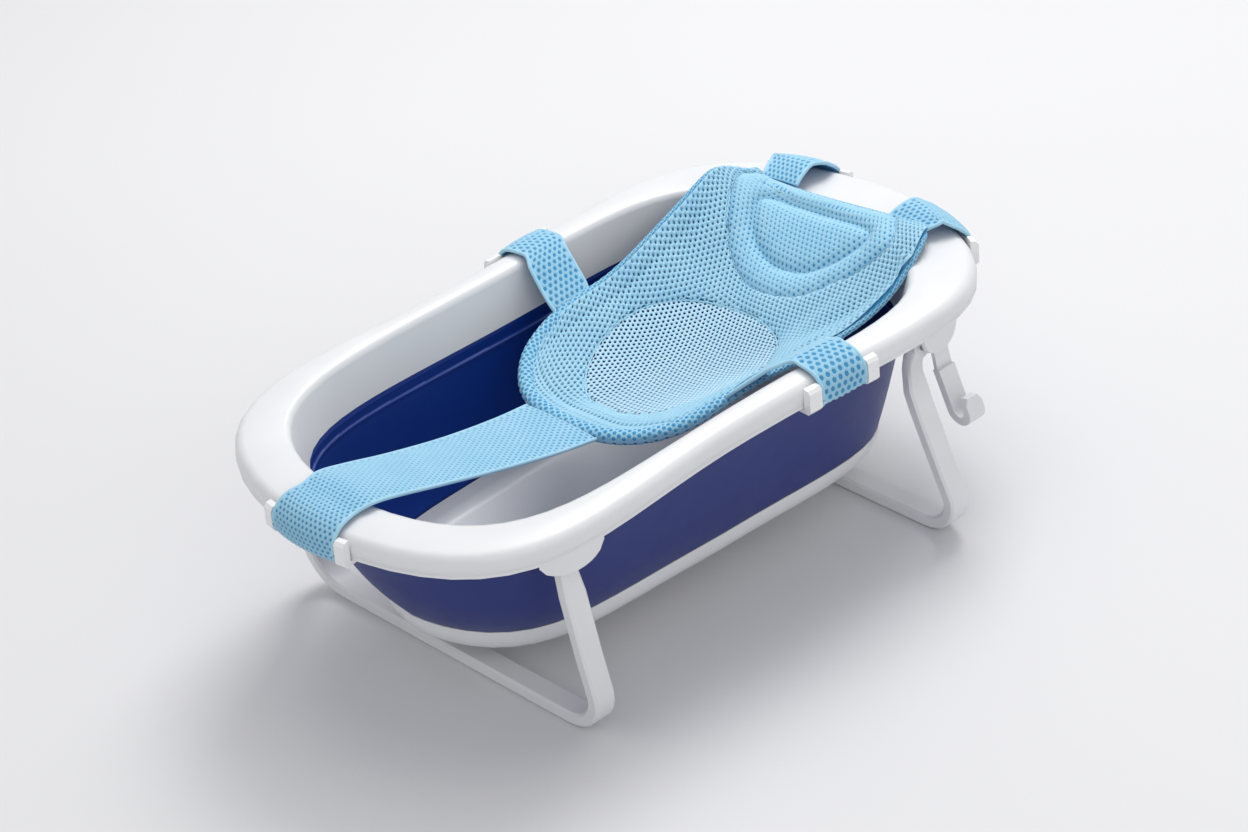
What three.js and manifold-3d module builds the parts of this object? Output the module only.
// Folding baby bathtub with two hinged leg frames, a collapsible wall and a mesh bath sling.
// Millimetres, +Z up. The head end is at +X and the foot end at -X; "near" is -Y, "far" is +Y.
// Origin: on the floor plane, under the middle of the whole tub.
import * as THREE from "three";
import { mergeVertices } from "three/addons/utils/BufferGeometryUtils.js";
import Module from "manifold-3d";

const wasm = await Module();
wasm.setup();

// ---------- driving dimensions ----------
// Egg-shaped outlines seen from above. The powers set how square each end is; the bulge
// coefficients (of x, x^2, x^3, x^4, with x from -1 to 1) widen the outline along its length.
const RIM = {
  halfLength: 405, halfWidth: 208.9, centreX: 0,
  footPower: 1.883, headPower: 1.726, bulge: [0.067, 0.968, -0.009, 0.144],
};
const MOUTH = {
  halfLength: 334.5, halfWidth: 179.1, centreX: -17.9,
  footPower: 2.023, headPower: 2.105, bulge: [-0.015, 0.557, 0.016, 0.179],
};
const BASE = {
  halfLength: 294, halfWidth: 136, centreX: -1.5,
  footPower: 1.653, headPower: 1.838, bulge: [0.051, 0.801, -0.023, 0.321],
};
const RIM_HEIGHT = 245.4; // rim top at the two ends, before the tilt
const RIM_BOW = 8.1; // how much higher the rim top is in the middle
const RIM_TILT = 0.9; // extra height at the head end, lost at the foot end
const SKIRT_DEPTH = 20.8; // depth of the rim's outer skirt
const FRAME_THICKNESS = 3.3; // lower rim frame
const WALL_TOP = 203.45; // where the white inner wall meets the soft wall
const SHELL_THICKNESS = 3; // walls of the moulded shells
const BASE_TOP = 76.6; // top edge of the base tray
const BASE_BOTTOM = 48.8; // underside of the base tray
const FLOOR_Z = 55; // inside floor of the tray
const BAR_WIDTH = 26; // leg bar, along X
const BAR_THICKNESS = 14; // leg bar, in the plane of the frame
const LEG_CORNER_RADIUS = 50; // outer corner of the leg frames
const PIN_RADIUS = 3.5;
const BORE_RADIUS = 3.9;
const SHIFT_X = 4.0037; // from the middle of the rim outline to the middle of the whole tub

// Leg frames. floorEdgeX: the bar's foot-end face at z = 0; rake: change of x per unit of z;
// halfWidth: outer half width at the floor; topOuterY: outer face at the pivot.
// pinY: outer and inner end of the pivot pin; padY: inner and outer end of the anti-slip pad.
// knees: centre-line stations [y, z, x] above the lower corner.
const FOOT_LEG = {
  name: "foot", pivotX: -266, pivotZ: 211.5, floorEdgeX: -251.4, rake: -0.129,
  halfWidth: 214, topOuterY: 203.4, cheekX: -266, cheekHalfWidth: 36,
  pinY: [210.1, 185.6], padY: [128, 166],
  knees: [[202.4, 100, -251.3], [198.2, 170, -260.3], [196.6, 195, -263.9]],
};
const HEAD_LEG = {
  name: "head", pivotX: 222, pivotZ: 211.5, floorEdgeX: 216.5, rake: -0.193,
  halfWidth: 250, topOuterY: 203.9, cheekX: 238, cheekHalfWidth: 27,
  pinY: [212.8, 186.0], padY: [158, 198],
  knees: [
    [232.6, 100, 210.2], [224.6, 140, 202.5], [221.2, 156, 199.6], [217.0, 168, 199.2],
    [211.2, 178, 200.8], [205.2, 187, 204.4], [200.0, 195, 209.6], [197.0, 203, 216],
  ],
};
const LEGS = [FOOT_LEG, HEAD_LEG];
const HOOK = { pivotX: 240, pivotZ: 211.5, innerY: -204.5, thickness: 4.6 };
const DRAIN = { x: -240, y: -12, radius: 17, bossRadius: 27 };
const SIDES = [{ sign: -1, label: "near" }, { sign: 1, label: "far" }];

// ---------- looks ----------
const WHITE = 0xf1f2f3, NAVY = 0x1b2a63, BLUE = 0x7fc4e6, GREY = 0xc9ccd0;
const LOOKS = {
  rimPlastic: { color: WHITE, roughness: 0.32 },
  shellPlastic: { color: WHITE, roughness: 0.35 },
  legPlastic: { color: WHITE, roughness: 0.4 },
  softNavy: { color: NAVY, roughness: 0.5 },
  fabric: { color: BLUE, roughness: 0.9 },
  seal: { color: GREY, roughness: 0.7 },
  pad: { color: GREY, roughness: 0.85 },
  steel: { color: GREY, roughness: 0.3, metalness: 0.9 },
};

const tub = new THREE.Group();
tub.position.x = SHIFT_X;

function addPiece(name, geometry, look) {
  const faceted = geometry.index ? geometry.toNonIndexed() : geometry;
  faceted.computeVertexNormals();
  const mesh = new THREE.Mesh(faceted, new THREE.MeshStandardMaterial(look));
  mesh.name = name;
  tub.add(mesh);
}

// ---------- outlines and rim heights ----------
const rimTopZ = (x) => {
  const along = x / RIM.halfLength;
  return RIM_HEIGHT + RIM_BOW * (1 - along ** 2) + RIM_TILT * along;
};
const plateTopZ = (x) => rimTopZ(x) - SKIRT_DEPTH - 0.3;
const plateBottomZ = (x) => plateTopZ(x) - FRAME_THICKNESS;

// Point [x, y] of an outline at an angle, moved inwards by inset.
function planPoint(outline, angle, inset = 0) {
  const cosine = Math.cos(angle), sine = Math.sin(angle);
  const exponent = 2 / (cosine < 0 ? outline.footPower : outline.headPower);
  const unitX = Math.sign(cosine) * Math.abs(cosine) ** exponent;
  const unitY = Math.sign(sine) * Math.abs(sine) ** exponent;
  const widening = outline.bulge.reduce((sum, factor, i) => sum + factor * unitX ** (i + 1), 1);
  return [
    outline.centreX + (outline.halfLength - inset) * unitX,
    (outline.halfWidth - inset) * widening * unitY,
  ];
}
const blend = (from, to, weight) => from.map((value, i) => value * (1 - weight) + to[i] * weight);

function bisect(low, high, isBelow) {
  for (let i = 0; i < 60; i++) {
    const middle = (low + high) / 2;
    if (isBelow(middle)) low = middle;
    else high = middle;
  }
  return (low + high) / 2;
}
// Angle of the outline point at x, on the side given by sign.
const angleAtX = (outline, x, sign, inset = 0) =>
  sign * bisect(0, Math.PI, (angle) => planPoint(outline, angle, inset)[0] > x);

// Angles of the rim point at y (not zero) at each end. The foot-end angles run on past pi.
function headAngle(y) {
  const isBelow = (angle) => planPoint(RIM, angle)[1] < Math.abs(y);
  return Math.sign(y) * bisect(0, Math.PI / 2 - 0.6, isBelow);
}
function footAngle(y) {
  const isBelow = (angle) => planPoint(RIM, angle)[1] > Math.abs(y);
  const angle = bisect(Math.PI / 2 + 0.6, Math.PI, isBelow);
  return y < 0 ? 2 * Math.PI - angle : angle;
}
// Point beside the rim outline: out along its outward normal, rise above the rim top.
function rimPoint(angle, out, rise) {
  const step = 1e-3;
  const [x, y] = planPoint(RIM, angle);
  const before = planPoint(RIM, angle - step), after = planPoint(RIM, angle + step);
  const dx = after[0] - before[0], dy = after[1] - before[1], length = Math.hypot(dx, dy);
  return [x + (out * dy) / length, y - (out * dx) / length, rimTopZ(x) + rise];
}

// ---------- building solids ----------
// Indexed geometry with its triangles facing outwards.
function toGeometry(points, triangles) {
  let volume = 0;
  for (const triangle of triangles) {
    const [first, second, third] = triangle.map((i) => new THREE.Vector3(...points[i]));
    volume += first.dot(second.cross(third));
  }
  const outward = volume < 0 ? triangles.map(([i, j, k]) => [i, k, j]) : triangles;
  const geometry = new THREE.BufferGeometry();
  geometry.setAttribute("position", new THREE.BufferAttribute(new Float32Array(points.flat()), 3));
  geometry.setIndex(outward.flat());
  return geometry;
}
function solidOf(geometry) {
  const bare = geometry.clone();
  bare.deleteAttribute("normal");
  bare.deleteAttribute("uv");
  const merged = mergeVertices(bare, 1e-4);
  return new wasm.Manifold(new wasm.Mesh({
    numProp: 3,
    vertProperties: merged.attributes.position.array,
    triVerts: new Uint32Array(merged.index.array),
  }));
}
function geometryOf(solid) {
  const mesh = solid.getMesh();
  const geometry = new THREE.BufferGeometry();
  geometry.setAttribute("position", new THREE.BufferAttribute(mesh.vertProperties, 3));
  geometry.setIndex(new THREE.BufferAttribute(mesh.triVerts, 1));
  return geometry;
}
const join = (solid, ...parts) => parts.reduce((sum, part) => sum.add(solidOf(part)), solid);
const cut = (solid, ...parts) => parts.reduce((rest, part) => rest.subtract(solidOf(part)), solid);

// Two triangles between points j and next of the rings starting at indices here and there.
function stitch(triangles, here, there, j, next) {
  triangles.push([here + j, there + j, here + next], [here + next, there + j, there + next]);
}
// Carries section(angle) round the tub. Without centres the section is a closed loop; with
// the two centre points it is an open profile, closed by a fan at its first and last point.
function sweepRound(section, segments, centres) {
  const rings = Array.from({ length: segments }, (_, i) => section((i / segments) * 2 * Math.PI));
  const size = rings[0].length, points = rings.flat(), triangles = [];
  const first = points.length, last = first + 1;
  if (centres) points.push(...centres);
  for (let i = 0; i < segments; i++) {
    const here = i * size, there = ((i + 1) % segments) * size;
    for (let j = 0; j < (centres ? size - 1 : size); j++) {
      stitch(triangles, here, there, j, (j + 1) % size);
    }
    if (centres) triangles.push([first, there, here], [last, here + size - 1, there + size - 1]);
  }
  return toGeometry(points, triangles);
}
// Joins a run of rings and closes both ends: with a fan, or by triangulating the 2D profile.
function loft(rings, profile) {
  const size = rings[0].length, end = (rings.length - 1) * size, triangles = [];
  for (let i = 0; i < rings.length - 1; i++) {
    for (let j = 0; j < size; j++) {
      stitch(triangles, i * size, (i + 1) * size, j, (j + 1) % size);
    }
  }
  const cap = (i, j, k) => triangles.push([i, j, k], [end + i, end + k, end + j]);
  if (profile) {
    const corners = profile.map((point) => new THREE.Vector2(...point));
    const anticlockwise = THREE.ShapeUtils.area(corners) > 0;
    for (const [i, j, k] of THREE.ShapeUtils.triangulateShape(corners, [])) {
      if (anticlockwise) cap(i, j, k);
      else cap(i, k, j);
    }
  } else {
    for (let j = 1; j < size - 1; j++) cap(0, j, j + 1);
  }
  return toGeometry(rings.flat(), triangles);
}
// Gives a grid of points a thickness along its normals, on the side that mostly faces up.
function sheet(grid, thickness) {
  const rows = grid.length, columns = grid[0].length, normals = [];
  const between = (from, to) => new THREE.Vector3(...to).sub(new THREE.Vector3(...from));
  for (let i = 0; i < rows; i++) {
    for (let j = 0; j < columns; j++) {
      const down = between(grid[Math.max(i - 1, 0)][j], grid[Math.min(i + 1, rows - 1)][j]);
      const across = between(grid[i][Math.max(j - 1, 0)], grid[i][Math.min(j + 1, columns - 1)]);
      normals.push(down.cross(across).normalize());
    }
  }
  if (normals.reduce((sum, normal) => sum + normal.z, 0) < 0) {
    normals.forEach((normal) => normal.negate());
  }
  const lower = grid.flat();
  const upper = lower.map(([x, y, z], i) => {
    const normal = normals[i];
    return [x + normal.x * thickness, y + normal.y * thickness, z + normal.z * thickness];
  });
  const triangles = [], top = rows * columns;
  for (let i = 0; i < rows - 1; i++) {
    for (let j = 0; j < columns - 1; j++) {
      const near = i * columns + j, far = near + columns;
      triangles.push([near, near + 1, far], [near + 1, far + 1, far]);
      triangles.push([top + near, top + far, top + near + 1]);
      triangles.push([top + near + 1, top + far, top + far + 1]);
    }
  }
  const edge = (from, to) => triangles.push([from, top + from, to], [to, top + from, top + to]);
  const lastRow = (rows - 1) * columns;
  for (let j = 0; j < columns - 1; j++) {
    edge(j, j + 1);
    edge(lastRow + j + 1, lastRow + j);
  }
  for (let i = 0; i < rows - 1; i++) {
    edge((i + 1) * columns, i * columns);
    edge((i + 1) * columns - 1, (i + 2) * columns - 1);
  }
  return toGeometry([...lower, ...upper], triangles);
}
function cylinderY(radius, x, z, startY, endY, segments = 20) {
  const geometry = new THREE.CylinderGeometry(radius, radius, Math.abs(endY - startY), segments);
  return geometry.translate(x, (startY + endY) / 2, z);
}
const box = (size, centre) => new THREE.BoxGeometry(...size).translate(...centre);

// Unit normals of a path of [y, z] points.
const pathNormals = (path) => path.map((_, i) => {
  const [startY, startZ] = path[Math.max(i - 1, 0)];
  const [endY, endZ] = path[Math.min(i + 1, path.length - 1)];
  const length = Math.hypot(endY - startY, endZ - startZ);
  return [(endZ - startZ) / length, -(endY - startY) / length];
});

// ---------- rim cover ----------
const RIM_SEGMENTS = 72;
// Underside of the cover's inner wall: inset from the mouth outline at its top and bottom.
const COVER_UNDERSIDE = { topInset: -1.5, topDrop: 9, bottomInset: 10 };

function coverSection(angle) {
  const above = ([x, y], rise) => [x, y, rimTopZ(x) + rise];
  const rim = (inset, rise) => above(planPoint(RIM, angle, inset), rise);
  const mouth = (inset, rise) => above(planPoint(MOUTH, angle, inset), rise);
  const crownPlan = blend(planPoint(RIM, angle, 14), planPoint(MOUTH, angle, -8), 0.5);
  const wallEdge = (inset) => [...planPoint(MOUTH, angle, inset), WALL_TOP];
  const { topInset, topDrop, bottomInset } = COVER_UNDERSIDE;
  return [
    // upper face, from the skirt to the foot of the inner wall
    rim(0, -SKIRT_DEPTH), rim(0, -13), rim(1.3, -7.5), rim(4.2, -3.2), rim(9, -0.7),
    above(crownPlan, 1.2), mouth(-5, 0.2), mouth(-0.5, -1.8), mouth(1.5, -7),
    wallEdge(bottomInset + SHELL_THICKNESS),
    // and back along the underside
    wallEdge(bottomInset), mouth(topInset, -topDrop), mouth(-5.5, -3.4), above(crownPlan, -2),
    rim(10.5, -3.9), rim(4.4, -9), rim(SHELL_THICKNESS, -13), rim(SHELL_THICKNESS, -SKIRT_DEPTH),
  ];
}
addPiece("rim_cover", sweepRound(coverSection, RIM_SEGMENTS), LOOKS.rimPlastic);

// ---------- rim frame: a ring that closes the rim from below and carries the hinges ----------
const CHEEK_BOTTOM = 204.5;
const HINGE_SINK = 1; // cheeks and lugs start this far below the frame's top face
const LUG = { halfWidth: 11, roundDepth: 8, thickness: 3, legGap: 0.6 };

function frameSection(angle) {
  const outer = planPoint(RIM, angle, 0.4), inner = planPoint(MOUTH, angle, 1.0);
  return [
    [...outer, plateBottomZ(outer[0])], [...outer, plateTopZ(outer[0])],
    [...inner, plateTopZ(inner[0])], [...inner, plateBottomZ(inner[0])],
  ];
}
// Outer hinge cheek: a half-ellipse that follows the skirt and hangs below the frame.
function hingeCheek({ cheekX, cheekHalfWidth }, sign) {
  const steps = 12, straightDepth = 2.6, rings = [];
  for (let i = 0; i <= steps; i++) {
    const across = -1 + (2 * i) / steps;
    const x = cheekX + cheekHalfWidth * across * 0.995; // just short of the full half width
    const angle = angleAtX(RIM, x, sign);
    const top = plateTopZ(x) - HINGE_SINK, shoulder = top - straightDepth;
    const hang = Math.sqrt(Math.max(0, 1 - across * across * 0.985));
    const bottom = shoulder - (shoulder - CHEEK_BOTTOM) * hang;
    const outer = planPoint(RIM, angle, 0.6), inner = planPoint(RIM, angle, 4.0);
    rings.push([[...outer, top], [...inner, top], [...inner, bottom], [...outer, bottom]]);
  }
  return loft(rings);
}
// Flat hinge lug with a rounded bottom, on the inner side of the leg.
function hingeLug({ pivotX, pivotZ, topOuterY }, sign) {
  const top = plateTopZ(pivotX) - HINGE_SINK, steps = 10;
  const left = pivotX - LUG.halfWidth, right = pivotX + LUG.halfWidth;
  const outline = [[left, top], [left, pivotZ]];
  for (let i = 1; i < steps; i++) {
    const angle = (Math.PI * i) / steps;
    outline.push([
      pivotX - LUG.halfWidth * Math.cos(angle), pivotZ - LUG.roundDepth * Math.sin(angle),
    ]);
  }
  outline.push([right, pivotZ], [right, top]);
  const faceY = topOuterY - BAR_THICKNESS - LUG.legGap;
  const faces = [sign * faceY, sign * (faceY - LUG.thickness)];
  return loft(faces.map((y) => outline.map(([x, z]) => [x, y, z])), outline);
}
function rimFrame() {
  let frame = solidOf(sweepRound(frameSection, RIM_SEGMENTS));
  for (const { sign } of SIDES) {
    for (const leg of LEGS) {
      frame = join(frame, hingeCheek(leg, sign), hingeLug(leg, sign));
    }
    for (const { pivotX, pivotZ, pinY } of LEGS) {
      const boreEndY = pinY[0] + 0.4;
      frame = cut(frame, cylinderY(BORE_RADIUS, pivotX, pivotZ, sign * boreEndY, sign * 180));
    }
  }
  // relief inside the near head-end cheek, where the hanging hook swings, and the hook's bore
  const relief = box([44, 8, 30], [250, -206, 208.5]);
  const hookBore = cylinderY(BORE_RADIUS, HOOK.pivotX, HOOK.pivotZ, -213.9, -198, 24);
  return cut(frame, relief, hookBore);
}
addPiece("rim_frame", geometryOf(rimFrame()), LOOKS.shellPlastic);

// ---------- soft wall ----------
const WALL_SEGMENTS = 64;
const WALL_STEPS = [0.08, 0.165, 0.3, 0.45, 0.6, 0.74, 0.86, 0.94, 1]; // 0 at the rim, 1 at the tray
const WALL_GAP = 0.6; // between the soft wall and the parts around it
const WALL_TOP_INSET = 1.4;

// Inset, from the mouth outline, of the underside of the cover's inner wall.
function coverInset(x, z) {
  const { topInset, topDrop, bottomInset } = COVER_UNDERSIDE;
  const topZ = rimTopZ(x) - topDrop;
  return topInset + ((bottomInset - topInset) * (topZ - z)) / (topZ - WALL_TOP);
}
function wallPoint(angle, step, inset) {
  const bottom = planPoint(BASE, angle, 0.8 + inset);
  const along = Math.max(-1, Math.min(1, bottom[0] / BASE.halfLength));
  const curve = 0.25 - 0.2 * along; // the wall bows more towards the foot end
  const weight = (1 - curve) * step + curve * step ** 4;
  const [x, y] = blend(planPoint(MOUTH, angle, WALL_TOP_INSET + inset), bottom, weight);
  const z = (plateBottomZ(x) - WALL_GAP) * (1 - step) + (BASE_TOP + WALL_GAP) * step;
  return [x, y, z];
}
function wallSection(angle) {
  const mouth = (inset, z) => [...planPoint(MOUTH, angle, inset), z];
  const [topX] = planPoint(MOUTH, angle, WALL_TOP_INSET);
  const lipZ = plateBottomZ(topX) - WALL_GAP;
  const coverAtLip = coverInset(topX, lipZ);
  const innerSteps = WALL_STEPS.filter((step) => step > 0.2).reverse();
  return [
    mouth(Math.min(WALL_TOP_INSET, coverAtLip - 2.0), lipZ),
    ...WALL_STEPS.map((step) => wallPoint(angle, step, 0)),
    ...innerSteps.map((step) => wallPoint(angle, step, SHELL_THICKNESS)),
    // step inwards under the white wall, then a thin lip outside it
    mouth(12.6, WALL_TOP - 0.5), mouth(9.2, WALL_TOP - 0.5), mouth(coverAtLip - WALL_GAP, lipZ),
  ];
}
addPiece("soft_wall", sweepRound(wallSection, WALL_SEGMENTS), LOOKS.softNavy);

// ---------- base tray and drain ----------
// [inset from the base outline, z], from the inside floor over the edge to the underside
const TRAY_PROFILE = [
  [34, FLOOR_Z], [20, FLOOR_Z + 0.4], [12, FLOOR_Z + 3.5], [6.5, FLOOR_Z + 10], [4, BASE_TOP],
  [0, BASE_TOP], [0.8, BASE_TOP - 8], [4, BASE_TOP - 17], [9.5, BASE_TOP - 24.5],
  [15.5, BASE_BOTTOM], [34, BASE_BOTTOM],
];
function drainCylinder(radius, bottom, top, segments = 28) {
  const geometry = new THREE.CylinderGeometry(radius, radius, top - bottom, segments);
  return geometry.rotateX(Math.PI / 2).translate(DRAIN.x, DRAIN.y, (bottom + top) / 2);
}
function baseTray() {
  const section = (angle) => TRAY_PROFILE.map(([inset, z]) => [...planPoint(BASE, angle, inset), z]);
  const dish = sweepRound(section, WALL_SEGMENTS, [[0, 0, FLOOR_Z], [0, 0, BASE_BOTTOM]]);
  const boss = drainCylinder(DRAIN.bossRadius, BASE_BOTTOM - 6.5, BASE_BOTTOM + 1, 36);
  const hole = drainCylinder(DRAIN.radius, BASE_BOTTOM - 9, FLOOR_Z + 2);
  return cut(join(solidOf(dish), boss), hole);
}
function drainPlug() {
  const stem = drainCylinder(DRAIN.radius - 2.6, BASE_BOTTOM - 5.6, FLOOR_Z + 1);
  const flange = drainCylinder(DRAIN.radius + 3.5, FLOOR_Z + 0.4, FLOOR_Z + 2.6, 32);
  const grip = box([16, 4, 7], [DRAIN.x, DRAIN.y, FLOOR_Z + 5.4]);
  return join(solidOf(stem), flange, grip);
}
function drainSeal() {
  const disc = drainCylinder(DRAIN.radius - 0.4, BASE_BOTTOM - 1.5, BASE_BOTTOM + 2.0);
  return cut(solidOf(disc), drainCylinder(DRAIN.radius - 2.2, BASE_BOTTOM - 3, BASE_BOTTOM + 4));
}
addPiece("base_tray", geometryOf(baseTray()), LOOKS.shellPlastic);
addPiece("drain_plug", geometryOf(drainPlug()), LOOKS.softNavy);
addPiece("drain_seal", geometryOf(drainSeal()), LOOKS.seal);

// ---------- leg frames ----------
const BAR_CHAMFER = 2.4;
const BAR_LIFT = 0.6; // underside of the bar above the floor
const BAR_TOP = { fromZ: 184, widthScale: 0.84 }; // the bar is narrower above this height
const LEG_BOSS_RADIUS = 12.4;
const PAD = { pocketDepth: 3.1, height: 2.75, pocketMargin: 6, clearance: 0.8 };

const barCentreX = (leg, z) => leg.floorEdgeX + BAR_WIDTH / 2 + leg.rake * z;

// Stations of the far half of the bar's centre line, from the floor centre to the pivot.
function legStations(leg) {
  const radius = LEG_CORNER_RADIUS - BAR_THICKNESS / 2, barZ = BAR_THICKNESS / 2 + BAR_LIFT;
  const cornerY = leg.halfWidth - BAR_THICKNESS / 2 - radius, cornerZ = barZ + radius;
  const path = [[0, barZ]];
  for (let i = 0; i <= 7; i++) {
    const angle = -Math.PI / 2 + (i / 7) * (Math.PI / 2);
    path.push([cornerY + radius * Math.cos(angle), cornerZ + radius * Math.sin(angle)]);
  }
  path.push(...leg.knees, [leg.topOuterY - BAR_THICKNESS / 2, leg.pivotZ, leg.pivotX]);
  const normals = pathNormals(path);
  normals[normals.length - 1] = [1, 0]; // the bar ends upright
  return path.map(([y, z, x = barCentreX(leg, z)], i) => ({ x, y, z, normal: normals[i] }));
}
// Chamfered rectangle across the bar at one station.
function barSection({ x, y, z, normal }, sign) {
  const wide = (BAR_WIDTH / 2) * (z > BAR_TOP.fromZ ? BAR_TOP.widthScale : 1);
  const thick = BAR_THICKNESS / 2;
  const wideInner = wide - BAR_CHAMFER, thickInner = thick - BAR_CHAMFER;
  const corners = [
    [-wideInner, -thick], [wideInner, -thick], [wide, -thickInner], [wide, thickInner],
    [wideInner, thick], [-wideInner, thick], [-wide, thickInner], [-wide, -thickInner],
  ];
  return corners.map(([across, out]) => [
    x + across, sign * (y + normal[0] * out), z + normal[1] * out,
  ]);
}
// Box centred on an anti-slip pad; margin is taken off the bar's width.
function padBox(leg, sign, margin, shortening, height, centreZ) {
  const [innerY, outerY] = leg.padY;
  const size = [BAR_WIDTH - margin, outerY - innerY - shortening, height];
  return box(size, [barCentreX(leg, 2), (sign * (innerY + outerY)) / 2, centreZ]);
}
function legFrame(leg) {
  const { pivotX, pivotZ, topOuterY } = leg, stations = legStations(leg);
  let solid = solidOf(loft([
    ...stations.slice(1).reverse().map((station) => barSection(station, -1)),
    ...stations.map((station) => barSection(station, 1)),
  ]));
  for (const { sign } of SIDES) {
    const outerY = sign * topOuterY, innerY = sign * (topOuterY - BAR_THICKNESS);
    solid = join(solid, cylinderY(LEG_BOSS_RADIUS, pivotX, pivotZ, outerY, innerY, 28));
  }
  for (const { sign } of SIDES) {
    solid = cut(solid, cylinderY(BORE_RADIUS, pivotX, pivotZ, sign * 240, sign * 170));
  }
  for (const { sign } of SIDES) {
    solid = cut(solid, padBox(leg, sign, PAD.pocketMargin, 0, 8, PAD.pocketDepth - 4));
  }
  return solid;
}
for (const leg of LEGS) {
  for (const { sign, label } of SIDES) {
    const margin = PAD.pocketMargin + PAD.clearance;
    const pad = padBox(leg, sign, margin, PAD.clearance, PAD.height, PAD.height / 2);
    addPiece(`foot_pad_${leg.name}_end_${label}`, pad, LOOKS.pad);
  }
}
for (const leg of LEGS) {
  addPiece(`leg_frame_${leg.name}`, geometryOf(legFrame(leg)), LOOKS.legPlastic);
}
for (const { sign, label } of SIDES) {
  for (const { name, pivotX, pivotZ, pinY } of LEGS) {
    const pin = cylinderY(PIN_RADIUS, pivotX, pivotZ, sign * pinY[0], sign * pinY[1]);
    addPiece(`leg_pin_${name}_${label}`, pin, LOOKS.steel);
  }
}

// ---------- hanging hook: a flat neck, then a thicker bar that leans outwards and curls up ----
const HOOK_BAR = {
  halfWidth: 11.5, thickness: 8.5,
  lean: 0.2, // outwards per unit of drop
  drift: 0.193, // towards the head end per unit of drop
  drops: [32, 60, 80], // stations of the straight part below the pivot
  curlRadius: 11, tipRises: [9, 17], tipScale: 0.6,
};
// Centre line of the bar, [y, z].
function hookPath() {
  const { thickness, lean, drops, curlRadius, tipRises } = HOOK_BAR;
  const startY = HOOK.innerY - thickness / 2;
  const path = drops.map((drop) => [startY - (drop - drops[0]) * lean, HOOK.pivotZ - drop]);
  const [lastY, lastZ] = path[path.length - 1];
  const heading = Math.atan2(-1, -lean);
  const curlY = lastY + curlRadius * Math.cos(heading - Math.PI / 2);
  const curlZ = lastZ + curlRadius * Math.sin(heading - Math.PI / 2);
  for (let i = 1; i <= 8; i++) {
    const angle = heading + Math.PI / 2 - (i / 8) * Math.PI;
    path.push([curlY + curlRadius * Math.cos(angle), curlZ + curlRadius * Math.sin(angle)]);
  }
  const [endY, endZ] = path[path.length - 1];
  path.push(...tipRises.map((rise) => [endY + rise * lean, endZ + rise]));
  return path;
}
function hookBar() {
  const { halfWidth, thickness, drift, drops, tipScale } = HOOK_BAR;
  const path = hookPath(), normals = pathNormals(path);
  const driftEndZ = HOOK.pivotZ - drops[drops.length - 1] - 8; // no more drift below this
  return loft(path.map(([y, z], i) => {
    const x = HOOK.pivotX + drift * (HOOK.pivotZ - Math.max(z, driftEndZ));
    const wide = halfWidth * (i === path.length - 1 ? tipScale : 1), thick = thickness / 2;
    const corners = [[-wide, -thick], [wide, -thick], [wide, thick], [-wide, thick]];
    return corners.map(([across, out]) => [
      x + across, y + normals[i][0] * out, z + normals[i][1] * out,
    ]);
  }));
}
function hangHook() {
  const { pivotX, pivotZ, innerY, thickness } = HOOK, outerY = innerY - thickness;
  // [foot-end x, head-end x, z] at the two ends of the neck
  const neckEnds = [[pivotX - 9.8, pivotX + 9.8, pivotZ], [pivotX - 2.7, pivotX + 18.5, pivotZ - 34]];
  const neck = loft(neckEnds.map(([footX, headX, z]) => [
    [footX, innerY, z], [headX, innerY, z], [headX, outerY, z], [footX, outerY, z],
  ]));
  const eye = cylinderY(10.4, pivotX, pivotZ, innerY, outerY, 24);
  const bore = cylinderY(BORE_RADIUS, pivotX, pivotZ, -240, -190);
  return cut(join(solidOf(eye), neck, hookBar()), bore);
}
const hookPin = cylinderY(PIN_RADIUS, HOOK.pivotX, HOOK.pivotZ, -213.4, -203.2);
addPiece("hang_hook", geometryOf(hangHook()), LOOKS.legPlastic);
addPiece("hook_pin", hookPin, LOOKS.steel);

// ---------- bath sling ----------
const FABRIC_THICKNESS = 3;
const SLING = { frontX: -21, headX: 334, hemSag: 55 };
// [x, half width]
const SLING_HALF_WIDTH = [
  [-21, 108], [0, 116], [30, 121], [73, 123], [140, 124],
  [220, 128], [276, 134], [300, 133], [318, 122], [334, 112],
];
// [x, z] of the far edge, the near edge and the middle line
const HEM_FAR = [
  [-21, 200], [0, 207], [30, 216], [73, 221], [97, 221], [126, 228], [156, 238],
  [187, 248], [217, 258], [247, 267], [276, 276], [295, 273], [318, 263], [334, 259],
];
const HEM_NEAR = [
  [-21, 198], [0, 205], [30, 212], [73, 213], [120, 209], [172, 208], [212, 212],
  [233, 217], [258, 229], [281, 243], [297, 258], [309, 266], [320, 262], [334, 259],
];
const MIDDLE_LINE = [
  [-76, 189], [-60, 184], [-40, 180], [0, 174], [50, 170], [100, 170], [140, 175],
  [180, 185], [220, 200], [255, 218], [285, 236], [306, 249], [320, 256], [334, 259],
];
// Linear interpolation in a table of [x, value], held constant beyond its ends.
function lookUp(table, x) {
  if (x <= table[0][0]) return table[0][1];
  for (let i = 1; i < table.length; i++) {
    const [startX, start] = table[i - 1], [endX, end] = table[i];
    if (x <= endX) return start + ((end - start) * (x - startX)) / (endX - startX);
  }
  return table[table.length - 1][1];
}
const mouthHalfWidth = (x, inset) =>
  planPoint(MOUTH, angleAtX(MOUTH, x, 1, inset), inset)[1];

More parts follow.
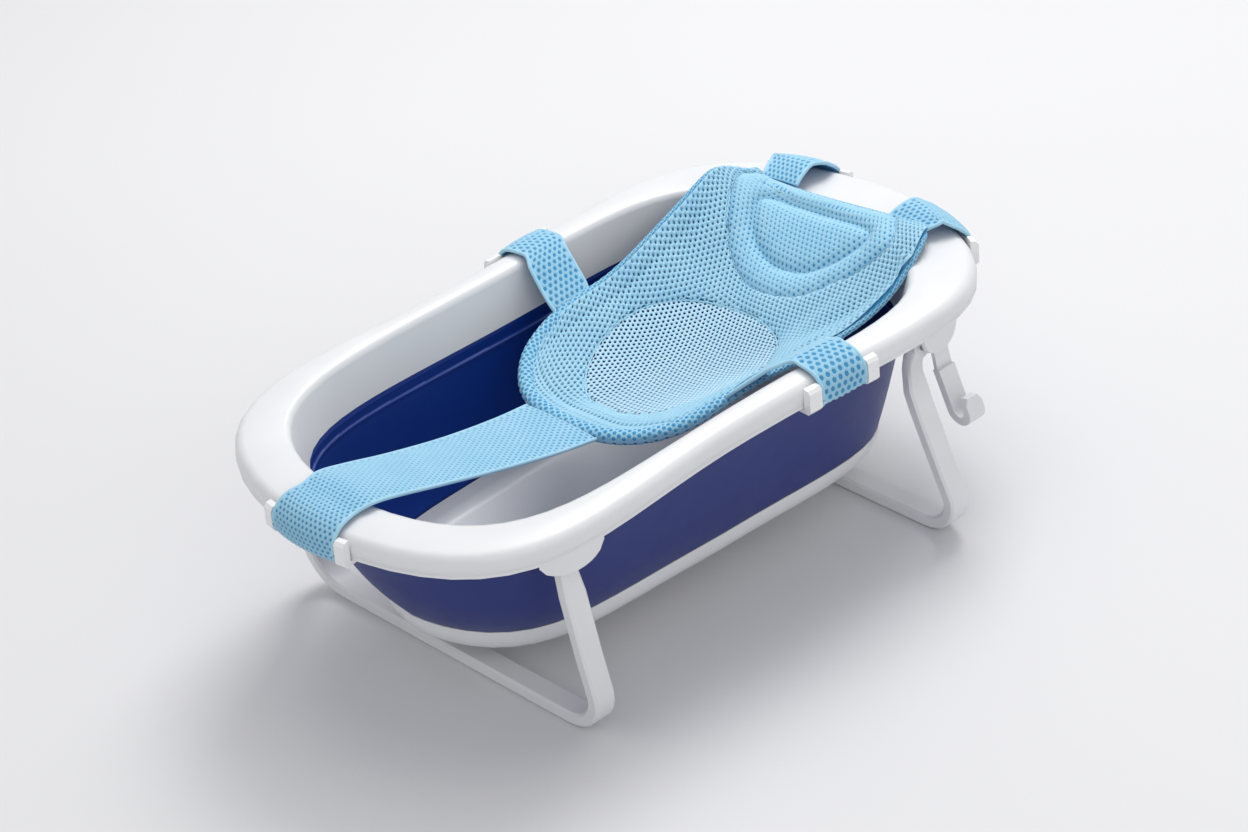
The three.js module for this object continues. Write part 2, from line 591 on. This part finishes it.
// Point of the net: along from the front hem (0) to the head edge (1),
// across from the near edge (-1) to the far edge (1).
function netPoint(along, across) {
  const edgeX = SLING.frontX + (SLING.headX - SLING.frontX) * along;
  const x = edgeX - SLING.hemSag * (1 - Math.abs(across) ** 3) * (1 - along) ** 4;
  const y = lookUp(SLING_HALF_WIDTH, edgeX) * across;
  const edgeZ = lookUp(across < 0 ? HEM_NEAR : HEM_FAR, edgeX), middleZ = lookUp(MIDDLE_LINE, x);
  const z = middleZ + (edgeZ - middleZ) * Math.abs(across) ** 2.2;
  const overRim = Math.abs(y) > mouthHalfWidth(x, 14);
  return [x, y, overRim ? Math.max(z, rimTopZ(x) + 5) : z];
}
function slingNet() {
  const alongs = [
    0, 0.04, 0.1, 0.18, 0.27, 0.36, 0.45, 0.54, 0.63, 0.71, 0.78, 0.84, 0.885, 0.92, 0.955, 1,
  ];
  const acrosses = [-1, -0.92, -0.8, -0.6, -0.3, 0, 0.3, 0.6, 0.8, 0.92, 1];
  const grid = alongs.map((along) => acrosses.map((across) => netPoint(along, across)));
  return sheet(grid, FABRIC_THICKNESS);
}
// D-shaped cushion lying on the net.
function headPad() {
  const alongs = [0.655, 0.69, 0.74, 0.79, 0.84, 0.88, 0.92, 0.955, 0.985];
  const fractions = [-1, -0.7, -0.35, 0, 0.35, 0.7, 1];
  return sheet(alongs.map((along) => {
    const halfSpan = 0.12 + 0.62 * Math.sqrt(Math.min(1, (along - 0.64) / 0.17));
    return fractions.map((fraction) => {
      const across = halfSpan * fraction, [x, y, z] = netPoint(along, across);
      const aheadZ = netPoint(Math.min(1, along + 0.02), across)[2];
      return [x - 2, y, Math.max(z, aheadZ) + 4.8];
    });
  }), 7);
}
addPiece("sling_net", slingNet(), LOOKS.fabric);
addPiece("head_pad", headPad(), LOOKS.fabric);

// ---------- straps and rim clips ----------
// Profiles across the rim: [outwards from the rim outline, above the rim top].
const STRAP_OVER_EDGE = [[-8, 3.2], [1.0, -1.5], [6.8, -8], [7.6, -16], [7.6, -23]];
const FOOT_STRAP_OVER = [[-22, 5.2], ...STRAP_OVER_EDGE];
const SIDE_STRAP_OVER = [[-36, 4.2], [-20, 4], ...STRAP_OVER_EDGE];
const HEAD_STRAP_OVER = [[-20, 6], ...STRAP_OVER_EDGE];
const CLIP_BAR = [[0.8, -6.5], [5.4, -7.5], [5.4, -28.4], [-8, -28.4], [-8, -25.6], [0.8, -25.6]];
const CLIP_BLOCK = [
  [0.8, -2.6], [6.4, -3.4], [9.4, -7], [9.4, -27], [6.6, -30.4], [-9, -30.4], [-9, -25.5],
  [0.8, -25.5],
];
// Strap: columns at the rim angles; straight rows given by their two end points [x, y, z],
// then rows that follow the rim along the over profile.
function addStrap(name, angles, straightRows, over) {
  const rows = straightRows.map(([start, end]) => angles.map((_, j) =>
    start.map((value, axis) => value + ((end[axis] - value) * j) / (angles.length - 1))));
  for (const [out, rise] of over) rows.push(angles.map((angle) => rimPoint(angle, out, rise)));
  addPiece(name, sheet(rows, FABRIC_THICKNESS), LOOKS.fabric);
}
// Clip: a bar the strap loops round, between two end blocks that grip the skirt.
// The four rim angles are the two ends of the first block, then of the second.
function addClip(name, [first, second, third, fourth]) {
  const part = (profile, angles) => loft(
    angles.map((angle) => profile.map(([out, rise]) => rimPoint(angle, out, rise))), profile);
  const start = (first + second) / 2, end = (third + fourth) / 2;
  const barAngles = Array.from({ length: 6 }, (_, i) => start + ((end - start) * i) / 5);
  const blocks = [part(CLIP_BLOCK, [first, second]), part(CLIP_BLOCK, [third, fourth])];
  const clip = join(solidOf(part(CLIP_BAR, barAngles)), ...blocks);
  addPiece(name, geometryOf(clip), LOOKS.shellPlastic);
}

// foot end; straight rows as [x, half width, z]
const FOOT_STRAP_ROWS = [
  [-80, 49, 188], [-130, 46, 196], [-200, 42, 211], [-270, 40, 229], [-340, 40, 250],
  [-356, 40, 252.8],
];
addStrap(
  "strap_foot",
  [-41, -27, -13, 0.01, 13, 27, 41].map(footAngle), // 0.01: just to the far side of the middle
  FOOT_STRAP_ROWS.map(([x, halfWidth, z]) => [[x, -halfWidth, z], [x, halfWidth, z]]),
  FOOT_STRAP_OVER,
);
addClip("clip_foot", [55, 43.5, -43.5, -55].map(footAngle));

// sides; columns and clip ends are given by their x on the rim
const SIDE_STRAPS = [
  {
    label: "near", sign: -1, columnX: [120, 106, 92, 77, 63], clipX: [44, 60.5, 122.5, 137],
    rows: [
      [[82, -129, 224], [26, -129, 222]],
      [[98, -148, 238], [42, -148, 237]],
      [[112, -168, 253.6], [56, -168, 254.4]],
    ],
  },
  {
    label: "far", sign: 1, columnX: [93, 80, 68, 56, 44], clipX: [24, 41.5, 95.5, 111],
    rows: [
      [[80, 129, 230], [24, 129, 227]],
      [[86, 148, 242], [32, 148, 240]],
      [[90, 168, 253.8], [38, 168, 254.4]],
    ],
  },
];
for (const { label, sign, columnX, clipX, rows } of SIDE_STRAPS) {
  const toAngle = (x) => angleAtX(RIM, x, sign);
  addStrap(`strap_side_${label}`, columnX.map(toAngle), rows, SIDE_STRAP_OVER);
  addClip(`clip_side_${label}`, clipX.map(toAngle));
}

// head end; columns and clip ends are given by their y on the rim
for (const { sign, label } of SIDES) {
  const toAngle = (y) => headAngle(sign * y);
  addStrap(`strap_head_${label}`, [70, 85, 100, 114, 128].map(toAngle), [
    [[337.5, sign * 64, 262.5], [337.5, sign * 111, 262.5]],
    [[350, sign * 67, 260.5], [347, sign * 116, 260]],
  ], HEAD_STRAP_OVER);
  addClip(`clip_head_${label}`, [56, 67.5, 130.5, 142].map(toAngle));
}

export default tub;
